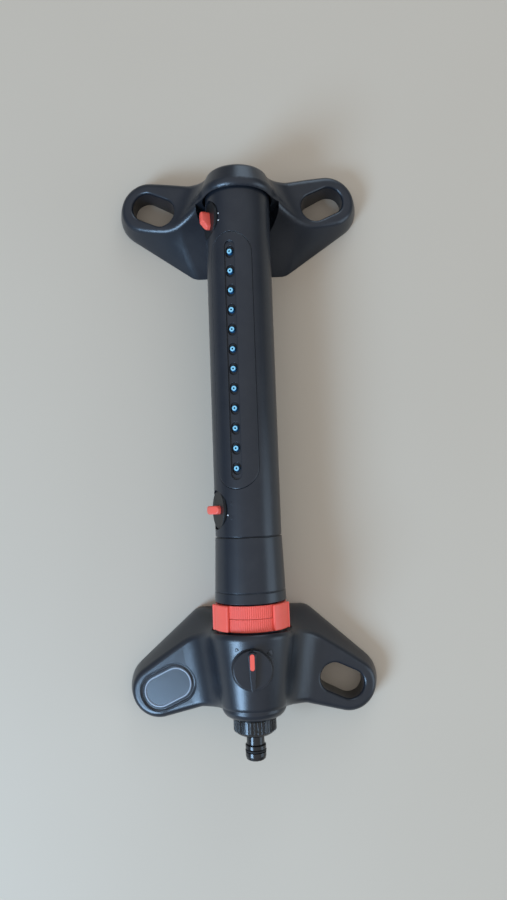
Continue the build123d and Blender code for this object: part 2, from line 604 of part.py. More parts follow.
# Gear train: two gear clusters step the turbine down to the fixed gear
PRESSURE_ANGLE = 25.0
TIP_FACTOR = 0.8
ROOT_FACTOR = 1.08
BACKLASH = 0.16
DRIVE_MODULE = 0.8
FINE_MODULE = 0.6
FIXED_TEETH = 25
PINION_TEETH = 10
WHEEL_TEETH = 24
ARBOR_R = 1.25
FIRST_FAR = DRIVE_MODULE * (FIXED_TEETH + PINION_TEETH) / 2
SECOND_FAR = FINE_MODULE * (WHEEL_TEETH + PINION_TEETH) / 2
FIRST_ANGLE = 180.0
second_turn = degrees(acos(FIRST_FAR / 2 / SECOND_FAR))
SECOND_ANGLE = FIRST_ANGLE + second_turn
first_at = polar(FIRST_FAR, FIRST_ANGLE, 0)
second_at = polar(SECOND_FAR, SECOND_ANGLE, 0)
link_angle = degrees(atan2(second_at[0] - first_at[0], second_at[2] - first_at[2]))
PLANE_GAP = 1.0
PLANE_TWO = PLANE_ONE + GEAR_WIDTH + PLANE_GAP
PLANE_THREE = PLANE_TWO + GEAR_WIDTH + PLANE_GAP
FRAME_START = PLANE_THREE + GEAR_WIDTH + PLANE_GAP
FRAME_END = FRAME_START + 2.5


def gear(teeth, module, y0, y1, tooth_at, centre):
    """Spur gear with a tooth centred on the given angle from the top."""
    pitch_r = teeth * module / 2
    base_r = pitch_r * cos(radians(PRESSURE_ANGLE))
    tip_r = pitch_r + TIP_FACTOR * module
    root_r = pitch_r - ROOT_FACTOR * module
    roll = tan(radians(PRESSURE_ANGLE)) - radians(PRESSURE_ANGLE)
    half = pi / 2 / teeth - BACKLASH / 2 / pitch_r
    low = max(base_r, root_r)
    flank = [(root_r, half + roll)]
    for step in range(5):
        radius = low + (tip_r - low) * step / 4
        lean = acos(min(1.0, base_r / radius))
        flank.append((radius, half + roll - tan(lean) + lean))
    points = []
    for tooth in range(teeth):
        middle = tooth_at + 360 / teeth * tooth
        for radius, spread in flank:
            points.append(polar(radius, middle - degrees(spread), y0))
        for radius, spread in reversed(flank):
            points.append(polar(radius, middle + degrees(spread), y0))
    neat = [points[0]]
    for point in points[1:]:
        if hypot(point[0] - neat[-1][0], point[2] - neat[-1][2]) > 0.02:
            neat.append(point)
    outline = make_face(Polyline(*neat, close=True))
    return Pos(centre[0], 0, centre[2]) * extrude(outline, amount=y1 - y0, dir=(0, 1, 0))


middle_at = (0, 0, 0)
half_pinion = 180 / PINION_TEETH
fixed_end = PLANE_ONE + GEAR_WIDTH
fixed = gear(FIXED_TEETH, DRIVE_MODULE, PLANE_ONE, fixed_end, FIRST_ANGLE + REST_SWING, middle_at)
pieces["fixed_gear"] = fixed - rod(GEAR_BORE, PLANE_ONE, fixed_end)

first = gear(PINION_TEETH, DRIVE_MODULE, PLANE_ONE, PLANE_TWO, FIRST_ANGLE + 180 + half_pinion, first_at)
first = first + gear(WHEEL_TEETH, FINE_MODULE, PLANE_TWO, PLANE_TWO + GEAR_WIDTH, link_angle, first_at)
first = first - rod(ARBOR_R + RUN_GAP, PLANE_ONE, PLANE_TWO + GEAR_WIDTH, first_at[0], first_at[2])
pieces["first_gears"] = swung(first)

second_end = PLANE_THREE + GEAR_WIDTH
second_tooth = link_angle + 180 + half_pinion
second = gear(PINION_TEETH, FINE_MODULE, PLANE_TWO, PLANE_THREE, second_tooth, second_at)
second = second + gear(WHEEL_TEETH, FINE_MODULE, PLANE_THREE, second_end, SECOND_ANGLE + 180, second_at)
second = second - rod(ARBOR_R - 0.35 + RUN_GAP, PLANE_TWO, second_end, second_at[0], second_at[2])
pieces["second_gears"] = swung(second)

SHAFT_R = 1.6
TURBINE_R = TUBE_BORE - 6.5
TURBINE_START = FRAME_END + 1.0
TURBINE_END = TURBINE_START + 8.5
PLATE_START = TURBINE_END + 1.0
PLATE_END = PLATE_START + 2.2
BLADES = 9
pinion_tooth = SECOND_ANGLE + half_pinion
turbine = gear(PINION_TEETH, FINE_MODULE, PLANE_THREE, FRAME_START - 0.4, pinion_tooth, middle_at)
turbine = turbine + rod(SHAFT_R, FRAME_START - 0.4, PLATE_END + 1)
turbine = turbine + rod(TURBINE_R * 0.38, TURBINE_START, TURBINE_END)
for index in range(BLADES):
    blade = block(-0.8, 0.8, TURBINE_START, TURBINE_END, TURBINE_R * 0.3, TURBINE_R)
    turbine = turbine + Rot(0, 360 / BLADES * index, 0) * blade
pieces["turbine"] = swung(turbine)

frame = rod(MOTOR_BORE, FRAME_START, FRAME_END) - rod(SHAFT_R + RUN_GAP, FRAME_START, FRAME_END)
frame = frame - rod(ARBOR_R, FRAME_START, FRAME_END, first_at[0], first_at[2])
frame = frame - rod(ARBOR_R - 0.35, FRAME_START, FRAME_END, second_at[0], second_at[2])
for angle in (-70, -35, 0, 35, 70):
    x, _, z = polar(TURBINE_R * 0.86, angle, 0)
    frame = frame - rod(3.0, FRAME_START, FRAME_END, x, z)
pieces["gear_frame"] = swung(frame)
arbor_one = rod(ARBOR_R, PLANE_ONE - 0.6, FRAME_END, first_at[0], first_at[2])
arbor_two = rod(ARBOR_R - 0.35, PLANE_TWO - 0.4, FRAME_END, second_at[0], second_at[2])
pieces["gear_arbors"] = swung(Compound([one(arbor_one), one(arbor_two)]))

jets = sleeve(MOTOR_BORE, TURBINE_R + 1.0, FRAME_END, TURBINE_END)
for index in range(8):
    x, _, z = polar(TURBINE_R + 2.8, 0, 0)
    jet = Pos(x, 0, z) * Rot(0, 62, 0) * Pos(-x, 0, -z)
    cut = block(-0.9, 0.9, TURBINE_START + 1, TURBINE_END - 1.5, TURBINE_R - 4, MOTOR_BORE + 3)
    jets = jets - Rot(0, 45 * index, 0) * (jet * cut)
pieces["jet_ring"] = swung(jets)

plate_r = TUBE_BORE - 2.0
plate = rod(MOTOR_BORE, PLATE_START - 1.0, PLATE_START) + rod(plate_r, PLATE_START, PLATE_END)
plate = plate - rod(TURBINE_R + 1.0, PLATE_START - 1.0, PLATE_START)
plate = plate - rod(SHAFT_R + RUN_GAP, PLATE_START, PLATE_END)
for angle in range(0, 360, 60):
    x, _, z = polar(TURBINE_R * 0.62, angle, 0)
    plate = plate - rod(TURBINE_R * 0.22, PLATE_START, PLATE_END, x, z)
pieces["bearing_plate"] = swung(plate)

# Spray tube with the window for the nozzle panel and the wells of the width knobs
PANEL_LENGTH = LAST_NOZZLE - FIRST_NOZZLE + 2 * PANEL_MARGIN
PANEL_WIDTH = 2 * TUBE_R * sin(radians(PANEL_HALF_ANGLE))
WELL_FLOOR = WIDTH_KNOB_FACE - 2.1 - TURN_GAP
WELL_UNDER = WELL_FLOOR - 2.0
KNOB_STEM_R = 3.4
middle = Pos(0, SPRAY_Y, 0)
tube = sleeve(TUBE_R, TUBE_BORE, MOTOR_END, TUBE_END)
tube = tube - sleeve(TUBE_R + 1, TUBE_R - SEAM_DEPTH, MOTOR_END, MOTOR_END + SEAM_WIDTH / 2)
window = middle * slot_prism(PANEL_LENGTH + 2 * SEAT_GAP, PANEL_WIDTH + 2 * SEAT_GAP, 0, TUBE_R + 1)
tube = tube - window
for y in (FRONT_KNOB_Y, REAR_KNOB_Y):
    well = knob_place(y) * post(WIDTH_KNOB_R + 2.2, WELL_UNDER, TUBE_R)
    tube = tube + (well & rod(TUBE_BORE + 1, MOTOR_END, TUBE_END))
    tube = tube - knob_place(y) * post(WIDTH_KNOB_R + TURN_GAP, WELL_FLOOR, TUBE_R + WIDTH_KNOB_R)
    tube = tube - knob_place(y) * post(KNOB_STEM_R + RUN_GAP, 0, WELL_FLOOR)
pieces["spray_tube"] = swung(tube)

# Nozzle panel, with the sunk channel and a pit round every nozzle
PANEL_PROUD = 0.35
PANEL_EDGE = 0.8
CHANNEL_EDGE = 0.4
CHANNEL_FLOOR = TUBE_R - 1.5
PANEL_IN = TUBE_BORE + 0.1
PIT_WIDTH = 2 * NOZZLE_R + 2.8
PIT_LENGTH = PIT_WIDTH + 2.6
RAIL_IN = 6.0
RAIL_OUT = 7.2
CHANNEL_LENGTH = LAST_NOZZLE - FIRST_NOZZLE + 17.0
panel = middle * slot_prism(PANEL_LENGTH, PANEL_WIDTH, 0, TUBE_R + 1)
panel = one(panel & sleeve(TUBE_R + PANEL_PROUD, PANEL_IN, MOTOR_END, TUBE_END))
panel = panel.fillet(PANEL_EDGE, [e for e in panel.edges() if hypot(e.center().X, e.center().Z) > TUBE_R])
panel = one(panel - middle * slot_prism(CHANNEL_LENGTH, CHANNEL_WIDTH, CHANNEL_FLOOR, TUBE_R + 1))
lips = [e for e in panel.edges() if e.center().Z > TUBE_R - 0.1 and abs(e.center().X) < CHANNEL_WIDTH]
panel = panel.fillet(CHANNEL_EDGE, lips)
SHUTTER_TOP = TUBE_BORE - 1.6
SHUTTER_LOW = SHUTTER_TOP - 1.2
rail_half = CHANNEL_LENGTH / 2 + 2
for side in (-1, 1):
    near = min(side * RAIL_IN, side * RAIL_OUT)
    far = max(side * RAIL_IN, side * RAIL_OUT)
    rail = block(near, far, SPRAY_Y - rail_half, SPRAY_Y + rail_half, SHUTTER_LOW - 1, PANEL_IN)
    panel = panel + rail
nozzle_y = [FIRST_NOZZLE + NOZZLE_PITCH * index for index in range(NOZZLES)]
for y in nozzle_y:
    panel = panel - Pos(0, y, 0) * slot_prism(PIT_LENGTH, PIT_WIDTH, PANEL_IN - 2, TUBE_R + 1)
pieces["nozzle_panel"] = swung(panel)

# Sealing strip under the panel, with a soft nozzle through each of its holes
strip = middle * slot_prism(CHANNEL_LENGTH + 1, 2 * RAIL_IN - 2 * SEAT_GAP, 0, TUBE_R)
strip = strip & sleeve(PANEL_IN, SHUTTER_TOP + TURN_GAP, MOTOR_END, TUBE_END)
NOZZLE_TOP = TUBE_R - 0.1
NOZZLE_FOOT = SHUTTER_TOP + 2 * TURN_GAP
NOZZLE_FOOT_R = NOZZLE_R + 0.6
JET_R = 0.7
nozzles = []
for y in nozzle_y:
    height = NOZZLE_TOP - NOZZLE_FOOT
    tip = Pos(0, y, NOZZLE_TOP - height / 2) * Cone(NOZZLE_FOOT_R, NOZZLE_R, height)
    crest = [e for e in tip.edges() if e.center().Z > NOZZLE_TOP - 0.01]
    tip = tip.fillet(0.5, crest) - post(JET_R, NOZZLE_FOOT, NOZZLE_TOP, 0, y)
    nozzles.append(one(tip - post(2 * JET_R, NOZZLE_FOOT, NOZZLE_TOP - 2.2, 0, y)))
    strip = strip - post(NOZZLE_FOOT_R + SEAT_GAP / 3, SHUTTER_TOP, TUBE_R, 0, y)
pieces["nozzle_strip"] = swung(strip)
pieces["nozzles"] = swung(Compound(nozzles))

# Width knobs with their flags, cranks and shutters
FLAG_LENGTH = 15.0
FLAG_WIDTH = 6.6
FLAG_TOP = WIDTH_KNOB_FACE + 7.0
FLAG_SINK = 1.0
CRANK_HIGH = WELL_UNDER - TURN_GAP
CRANK_LOW = CRANK_HIGH - 1.8
ARM_HIGH = CRANK_LOW - TURN_GAP
ARM_LOW = ARM_HIGH - 1.4
CRANK_R = 7.0
SLOT_GAP = 0.4
ARM_HALF = 8.0
throw_rate = 2 * CRANK_THROW * sin(radians(WIDTH_TRAVEL / 2)) / radians(WIDTH_TRAVEL)
half_travel = radians(WIDTH_TRAVEL / 2)


def flag_shape():
    """Finger bar lying across a width knob, with a sloping end."""
    bar = Rot(0, 0, 90) * slot_prism(FLAG_LENGTH, FLAG_WIDTH, WIDTH_KNOB_FACE - FLAG_SINK, FLAG_TOP)
    half = FLAG_LENGTH / 2
    low = WIDTH_KNOB_FACE + 1.5
    slope = Polyline((half + 1, 0, low), (half + 1, 0, FLAG_TOP + 1), (0, 0, FLAG_TOP + 1), close=True)
    wedge = extrude(make_face(slope), amount=FLAG_WIDTH, dir=(0, 1, 0), both=True)
    bar = one(bar - wedge)
    upper = [e for e in bar.edges() if e.center().Z > low + 0.5]
    return one(bar.fillet(1.2, upper))


def width_set(name, y, way, state):
    """Width knob, its flag and its crank, turned by state; way is 1 in front and -1 behind."""
    place = knob_place(y) * Rot(0, 0, way * state)
    knob = post(WIDTH_KNOB_R, WELL_FLOOR + TURN_GAP, WIDTH_KNOB_FACE)
    knob = knob.fillet(0.6, [e for e in knob.edges() if e.center().Z > WIDTH_KNOB_FACE - 0.1])
    knob = knob + post(KNOB_STEM_R, CRANK_LOW, WELL_FLOOR + TURN_GAP)
    seat = slot_prism(FLAG_LENGTH, FLAG_WIDTH, WIDTH_KNOB_FACE - FLAG_SINK, WIDTH_KNOB_FACE + 1)
    pieces["width_knob_" + name] = swung(place * (knob - Rot(0, 0, 90) * seat))
    pieces["width_flag_" + name] = swung(place * flag_shape())
    pin_angle = radians(way * (state - WIDTH_TRAVEL / 2))
    pin_x = CRANK_THROW * cos(pin_angle)
    pin_y = CRANK_THROW * sin(pin_angle)
    crank = post(CRANK_R, CRANK_LOW, CRANK_HIGH) - post(KNOB_STEM_R, CRANK_LOW, CRANK_HIGH)
    crank = crank + post(CRANK_PIN_R, ARM_LOW - 1, CRANK_LOW, pin_x, pin_y)
    pieces["width_crank_" + name] = swung(knob_place(y) * crank)
    return way * throw_rate * (radians(state) - half_travel)


def shutter(name, y, slide, reach):
    """Curved shutter under the end nozzles, with the slotted arm that the crank moves."""
    start = min(y - ARM_HALF, reach)
    end = max(y + ARM_HALF, reach)
    spread = degrees(asin((RAIL_IN - TURN_GAP) / SHUTTER_TOP))
    plate = sector(SHUTTER_LOW, SHUTTER_TOP, start, end, -spread, spread)
    for nozzle in nozzle_y:
        if start < nozzle < end:
            plate = plate - post(NOZZLE_R, 0, TUBE_R, 0, nozzle - slide)
    far = SHUTTER_TOP * sin(radians(WIDTH_KNOB_ANGLE - spread)) + 1.0
    arm = block(-ARM_HALF, far, -ARM_HALF, ARM_HALF, ARM_LOW, ARM_HIGH)
    near = CRANK_THROW * cos(half_travel) - CRANK_PIN_R - SLOT_GAP
    away = CRANK_THROW + CRANK_PIN_R + SLOT_GAP
    wide = CRANK_PIN_R + SLOT_GAP
    arm = arm - block(near, away, -wide, wide, ARM_LOW, ARM_HIGH)
    arm = (knob_place(y) * arm) & rod(SHUTTER_TOP - 0.1, start - 1, end + 1)
    pieces["shutter_" + name] = swung(Pos(0, slide, 0) * (plate + arm))


front_slide = width_set("front", FRONT_KNOB_Y, 1, 0.0)
rear_slide = width_set("rear", REAR_KNOB_Y, -1, REAR_KNOB_STATE)
shutter("front", FRONT_KNOB_Y, front_slide, FIRST_NOZZLE + 2.5 * NOZZLE_PITCH)
shutter("rear", REAR_KNOB_Y, rear_slide, LAST_NOZZLE - 2.5 * NOZZLE_PITCH)

# Tube end cap and its bearing in the rear stand
JOURNAL_R = 8.6
CAP_PLUG = 4.0
cap_seal_y = TUBE_END - CAP_PLUG / 2
end_cap = rod(TUBE_BORE, TUBE_END - CAP_PLUG, TUBE_END) + rod(TUBE_R, TUBE_END, CAP_END)
end_cap = end_cap - rod(TUBE_BORE - 3, TUBE_END - CAP_PLUG, TUBE_END - 1)
end_cap = end_cap - sleeve(TUBE_R, TUBE_BORE - 1.6, cap_seal_y - 1.1, cap_seal_y + 1.1)
journal_end = REAR_WALL + BUSH_LENGTH
end_cap = end_cap + rod(JOURNAL_R, CAP_END, journal_end)
pieces["tube_end_cap"] = swung(end_cap)
pieces["end_cap_seal"] = swung(seal_ring(TUBE_BORE, 1.6, cap_seal_y))
BUSH_R = JOURNAL_R + 3.0
pieces["rear_bush"] = sleeve(BUSH_R, JOURNAL_R + RUN_GAP, REAR_WALL, REAR_WALL + BUSH_LENGTH)

# Rear stand, a narrow hood over the tube's end with a wide way past for the rear width flag
WAY_R = hypot(FLAG_TOP, FLAG_WIDTH / 2) + 9 * TURN_GAP
HOOD_BORE = TUBE_R + REAR_HOOD_GAP
way_end = REAR_HOLE_Y + REAR_PLAN[-1][2] - 1.2
rear_place = Pos(0, REAR_HOLE_Y, 0)
shell, solid = stand_shell(REAR_PLAN, REAR_HOOD_R, REAR_HOOD_SLOPE, (-1, 1))
shell = rear_place * shell
solid = rear_place * solid
rear_start = REAR_HOLE_Y + REAR_PLAN[0][2] - 1
rear = shell + (solid & rod(WAY_R + STAND_WALL, rear_start, way_end + STAND_WALL))
rear = rear + (solid & rod(HOOD_BORE + STAND_WALL, way_end, REAR_WALL + STAND_WALL))
rear = rear + (solid & rod(BUSH_R + STAND_WALL, REAR_WALL, REAR_WALL + BUSH_LENGTH + STAND_WALL))
rear = rear - rod(WAY_R, rear_start, way_end)
rear = rear - rod(HOOD_BORE, way_end, REAR_WALL)
rear = rear - rod(BUSH_R, REAR_WALL, REAR_WALL + BUSH_LENGTH + TURN_GAP)
pieces["rear_stand"] = rear

# Flow knob, pointer and valve plug
KNOB_LOW = PEDESTAL_TOP + TURN_GAP
KNOB_FACE = KNOB_LOW + 3.0
GRIP_TOP = KNOB_FACE + 5.0
GRIP_WIDTH = 6.4
GRIP_TAIL = 2.4
POINTER_WIDTH = 3.4
POINTER_LENGTH = 11.8
POINTER_SINK = 1.0
STEM_R = VALVE_PLUG_R / 2
STEM_TOP = KNOB_FACE - 0.8
at_knob = Pos(0, FLOW_KNOB_Y, 0)
knob = post(FLOW_KNOB_R, KNOB_LOW, KNOB_FACE)
knob = knob.fillet(1.0, [e for e in knob.edges() if e.center().Z > KNOB_FACE - 0.1])
near = FLOW_KNOB_R - 0.5
wide = GRIP_WIDTH / 2
narrow = GRIP_TAIL / 2
grip = make_face(Polyline((-wide, near), (wide, near), (narrow, -near), (-narrow, -near), close=True))
grip = extrude(Pos(0, 0, KNOB_FACE - 1) * grip, amount=GRIP_TOP - KNOB_FACE + 1, dir=(0, 0, 1))
grip = grip.fillet(wide - 0.3, [e for e in grip.edges().filter_by(Axis.Z) if e.center().Y > 0])
grip = grip.fillet(narrow - 0.2, [e for e in grip.edges().filter_by(Axis.Z) if e.center().Y < 0.1 - near])
grip = grip.fillet(0.5, [e for e in grip.edges() if e.center().Z > GRIP_TOP - 0.1])
knob = knob + grip
pointer_y = FLOW_KNOB_R - 1.6 - POINTER_LENGTH / 2
seat = slot_prism(POINTER_LENGTH, POINTER_WIDTH, GRIP_TOP - POINTER_SINK, GRIP_TOP + 1)
knob = knob - Pos(0, pointer_y, 0) * seat
knob = knob - post(STEM_R, KNOB_LOW, STEM_TOP)
pieces["flow_knob"] = at_knob * knob
pointer = slot_prism(POINTER_LENGTH, POINTER_WIDTH, GRIP_TOP - POINTER_SINK, GRIP_TOP + 0.3)
pieces["flow_pointer"] = at_knob * Pos(0, pointer_y, 0) * pointer
plug_top = VALVE_HIGH - TURN_GAP
plug_low = VALVE_LOW + TURN_GAP
ring_z = (plug_top + WATERWAY_R + 1) / 2
plug = post(VALVE_PLUG_R, plug_low, plug_top) + post(STEM_R, plug_top, STEM_TOP)
plug = plug - Rot(0, 0, FLOW_TRAVEL) * rod(WATERWAY_R + 1, -VALVE_PLUG_R - 1, VALVE_PLUG_R + 1)
groove = post(VALVE_PLUG_R + 1, ring_z - 1.0, ring_z + 1.0)
groove = groove - post(VALVE_PLUG_R - 1.4, ring_z - 1.0, ring_z + 1.0)
plug = plug - groove
pieces["valve_plug"] = at_knob * plug
pieces["plug_seal"] = at_knob * Pos(0, 0, ring_z) * Torus(VALVE_PLUG_R - 0.6, 0.8)

# Lift the sprinkler onto the ground, centred over its length
front_edge = NOSE_TIP
rear_edge = REAR_HOLE_Y + REAR_PLAN[0][4] + REAR_PLAN[0][5]
home = Pos(0, -(front_edge + rear_edge) / 2, AXIS_HEIGHT)
os.makedirs("parts", exist_ok=True)
for name, shape in pieces.items():
    export_step(home * shape, "parts/" + name + ".step")
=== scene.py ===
"""Looks of the oscillating lawn sprinkler: finishes, small marks, floor, light and camera."""

import json
from math import cos, pi, radians, sin

import bmesh
import bpy
from mathutils import Matrix, Vector
from mathutils.bvhtree import BVHTree


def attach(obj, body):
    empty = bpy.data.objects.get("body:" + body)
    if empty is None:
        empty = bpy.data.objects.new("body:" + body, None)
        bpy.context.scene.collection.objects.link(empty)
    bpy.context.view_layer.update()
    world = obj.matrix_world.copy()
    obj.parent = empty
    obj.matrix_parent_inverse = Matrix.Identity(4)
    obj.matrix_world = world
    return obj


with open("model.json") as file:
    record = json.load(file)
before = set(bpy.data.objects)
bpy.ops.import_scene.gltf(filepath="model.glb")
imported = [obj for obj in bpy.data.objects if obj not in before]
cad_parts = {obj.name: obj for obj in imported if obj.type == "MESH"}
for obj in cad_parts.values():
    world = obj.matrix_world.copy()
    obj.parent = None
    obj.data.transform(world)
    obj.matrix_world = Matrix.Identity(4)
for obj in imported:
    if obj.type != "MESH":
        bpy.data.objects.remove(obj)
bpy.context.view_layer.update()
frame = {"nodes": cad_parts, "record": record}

MM = 0.001


# Shader nodes

NOISE_RANGE = (0.3, 0.7)  # most of a noise texture's values lie between these
FULL_RANGE = (0.0, 1.0)
# Colour sockets of a Mix node, which has others of the same names
MIX_INPUTS = (6, 7)
MIX_OUTPUT = 2


def start_finish(name):
    """New node material, its node tree and its shader."""
    finish = bpy.data.materials.new(name)
    finish.use_nodes = True
    return finish, finish.node_tree, finish.node_tree.nodes["Principled BSDF"]


def object_place(tree):
    """Place in the object's own frame."""
    return tree.nodes.new("ShaderNodeTexCoord").outputs["Object"]


def stretched(tree, place, scale):
    """Place stretched by a scale for each axis."""
    node = tree.nodes.new("ShaderNodeMapping")
    node.inputs["Scale"].default_value = scale
    tree.links.new(place, node.inputs["Vector"])
    return node.outputs["Vector"]


def noise(tree, place, scale, detail):
    """Noise texture read at the given place, its scale in waves to the metre."""
    node = tree.nodes.new("ShaderNodeTexNoise")
    node.inputs["Scale"].default_value = scale
    node.inputs["Detail"].default_value = detail
    tree.links.new(place, node.inputs["Vector"])
    return node.outputs["Fac"]


def spread(tree, value, given, wanted):
    """Value remapped from a given range to a wanted one, held at its ends."""
    node = tree.nodes.new("ShaderNodeMapRange")
    node.inputs["From Min"].default_value = given[0]
    node.inputs["From Max"].default_value = given[1]
    node.inputs["To Min"].default_value = wanted[0]
    node.inputs["To Max"].default_value = wanted[1]
    tree.links.new(value, node.inputs["Value"])
    return node.outputs["Result"]


def product(tree, first, second):
    """Two values multiplied."""
    node = tree.nodes.new("ShaderNodeMath")
    node.operation = "MULTIPLY"
    tree.links.new(first, node.inputs[0])
    tree.links.new(second, node.inputs[1])
    return node.outputs["Value"]


def agreement(tree, normal, other):
    """How nearly a normal points the same way as another one or as a fixed direction."""
    node = tree.nodes.new("ShaderNodeVectorMath")
    node.operation = "DOT_PRODUCT"
    tree.links.new(normal, node.inputs[0])
    if isinstance(other, tuple):
        node.inputs[1].default_value = other
    else:
        tree.links.new(other, node.inputs[1])
    return node.outputs["Value"]


def blend_colours(tree, value, first, second):
    """Colour between first and second by value; each is a colour or a node's output."""
    node = tree.nodes.new("ShaderNodeMix")
    node.data_type = "RGBA"
    tree.links.new(value, node.inputs["Factor"])
    for index, colour in zip(MIX_INPUTS, (first, second)):
        if isinstance(colour, tuple):
            node.inputs[index].default_value = (*colour, 1.0)
        else:
            tree.links.new(colour, node.inputs[index])
    return node.outputs[MIX_OUTPUT]


def tinted(colour, factor):
    """Colour made lighter or darker."""
    return tuple(min(1.0, channel * factor) for channel in colour)


def cloudy(tree, cloud, colour, shades):
    """Colour that drifts from a darker to a lighter shade with a noise."""
    share = spread(tree, cloud, NOISE_RANGE, FULL_RANGE)
    return blend_colours(tree, share, tinted(colour, shades[0]), tinted(colour, shades[1]))


def roughen(tree, shader, height, strength, depth, normal=None):
    """Bump from a height, on top of a normal where one is given."""
    bump = tree.nodes.new("ShaderNodeBump")
    bump.inputs["Strength"].default_value = strength
    bump.inputs["Distance"].default_value = depth
    tree.links.new(height, bump.inputs["Height"])
    if normal is not None:
        tree.links.new(normal, bump.inputs["Normal"])
    tree.links.new(bump.outputs["Normal"], shader.inputs["Normal"])


# Moulded plastic

PLASTIC_IOR = 1.5
PLASTIC_SHADES = (0.9, 1.1)
CLOUD_SCALE = 22
GRAIN_SCALE = 2600
GRAIN_STRENGTH = 0.5
FLOW_SCALE = (900, 14, 900)  # fine across the moulding, long along it
EDGE_SAMPLES = 4
EDGE_RANGE = (0.99, 0.8)  # from a flat face to a full edge
WEAR_SCALE = 160
WEAR_NOISE = (0.35, 0.65)
WEAR_SHARE = (0.3, 1.0)
DUST = (0.16, 0.15, 0.135)
DUST_SCALE = 75
DUST_SLOPE = (0.3, 1.0)  # dust lies on faces that look up
DUST_NOISE = (0.42, 0.75)
DUST_SHARE = (0.15, 1.0)


def rounded_normal(tree, radius):
    """Normal with the edges rounded off."""
    node = tree.nodes.new("ShaderNodeBevel")
    node.samples = EDGE_SAMPLES
    node.inputs["Radius"].default_value = radius
    return node.outputs["Normal"]


def worn_edges(tree, place, normal, rounded):
    """Patchy share of wear, highest where the rounded normal leaves the true one."""
    at_edge = spread(tree, agreement(tree, rounded, normal), EDGE_RANGE, FULL_RANGE)
    patches = spread(tree, noise(tree, place, WEAR_SCALE, detail=3), WEAR_NOISE, WEAR_SHARE)
    return product(tree, at_edge, patches)


def settled_dust(tree, place, normal, most):
    """Patchy share of dust on faces that look up."""
    parts = tree.nodes.new("ShaderNodeSeparateXYZ")
    tree.links.new(normal, parts.inputs["Vector"])
    upward = spread(tree, parts.outputs["Z"], DUST_SLOPE, (0.0, most))
    patches = spread(tree, noise(tree, place, DUST_SCALE, detail=8), DUST_NOISE, DUST_SHARE)
    return product(tree, upward, patches)


def plastic(
    name,
    colour,
    rough,
    grain=0.06 * MM,  # depth of the fine grain
    worn=1.35,  # how much lighter a worn edge is
    edge=0.7 * MM,  # radius of the rounded edges
    streak=0.025,  # change of roughness along the flow lines
    dust=0.0,  # most that dust covers
    shine=0.5,  # level of the mirror reflection
):
    """Moulded plastic: fine grain, faint flow lines, worn edges and settled dust."""
    finish, tree, shader = start_finish(name)
    place = object_place(tree)
    normal = tree.nodes.new("ShaderNodeNewGeometry").outputs["Normal"]
    rounded = rounded_normal(tree, edge)
    tone = cloudy(tree, noise(tree, place, CLOUD_SCALE, detail=4), colour, PLASTIC_SHADES)
    tone = blend_colours(tree, worn_edges(tree, place, normal, rounded), tone, tinted(colour, worn))
    if dust:
        tone = blend_colours(tree, settled_dust(tree, place, normal, dust), tone, DUST)
    tree.links.new(tone, shader.inputs["Base Color"])
    flow = noise(tree, stretched(tree, place, FLOW_SCALE), 1.0, detail=3)
    gloss = spread(tree, flow, NOISE_RANGE, (rough - streak, rough + streak))
    tree.links.new(gloss, shader.inputs["Roughness"])
    fine = noise(tree, place, GRAIN_SCALE, detail=2)
    roughen(tree, shader, fine, GRAIN_STRENGTH, grain, rounded)
    shader.inputs["IOR"].default_value = PLASTIC_IOR
    shader.inputs["Specular IOR Level"].default_value = shine
    return finish


# Rubber and steel

RUBBER_SHADES = (0.82, 1.15)
RUBBER_CLOUD_SCALE = 420
RUBBER_GRAIN_SCALE = 3200
RUBBER_GRAIN = 0.04 * MM
RUBBER_GRAIN_STRENGTH = 0.3
RUBBER_STREAK = 0.06
NOZZLE_LEAN = radians(16)  # nozzle row to the left of upright
NOZZLE_TIP = (0.25, 0.58, 0.72)
# skirt colour: painted shade, the dark of the pit round each nozzle, not a second dye
NOZZLE_SKIRT_SHADE = (0.012, 0.085, 0.20)
NOZZLE_SHADES = (0.85, 1.12)
NOZZLE_CLOUD_SCALE = 900
NOZZLE_ROUGH = (0.26, 0.4)
TIP_RANGE = (0.6, 0.92)  # from the skirt's faces to the tip's
STEEL_DARK = (0.5, 0.5, 0.52)
STEEL_LIGHT = (0.68, 0.68, 0.7)
STEEL_SCALE = (2600, 60, 2600)
STEEL_ROUGH = (0.24, 0.36)


def rubber(name, colour, rough):
    """Soft rubber: matte, with a slightly cloudy surface."""
    finish, tree, shader = start_finish(name)
    place = object_place(tree)
    cloud = noise(tree, place, RUBBER_CLOUD_SCALE, detail=3)
    tree.links.new(cloudy(tree, cloud, colour, RUBBER_SHADES), shader.inputs["Base Color"])
    gloss = spread(tree, cloud, NOISE_RANGE, (rough - RUBBER_STREAK, rough + RUBBER_STREAK))
    tree.links.new(gloss, shader.inputs["Roughness"])
    grain = noise(tree, place, RUBBER_GRAIN_SCALE, detail=2)
    roughen(tree, shader, grain, RUBBER_GRAIN_STRENGTH, RUBBER_GRAIN)
    return finish


def nozzle_rubber(name):
    """Rubber nozzle: pale blue tip over a skirt coloured dark navy as painted shade of its pit, told
    apart by a face's turn from the axis.
    """
    finish, tree, shader = start_finish(name)
    coords = tree.nodes.new("ShaderNodeTexCoord")
    axis = (-sin(NOZZLE_LEAN), 0, cos(NOZZLE_LEAN))
    top = spread(tree, agreement(tree, coords.outputs["Normal"], axis), TIP_RANGE, FULL_RANGE)
    cloud = noise(tree, coords.outputs["Object"], NOZZLE_CLOUD_SCALE, detail=3)
    tip = cloudy(tree, cloud, NOZZLE_TIP, NOZZLE_SHADES)
    # faces turned from the nozzle's axis take the painted shade of the skirt
    tree.links.new(blend_colours(tree, top, NOZZLE_SKIRT_SHADE, tip), shader.inputs["Base Color"])
    tree.links.new(spread(tree, cloud, NOISE_RANGE, NOZZLE_ROUGH), shader.inputs["Roughness"])
    return finish


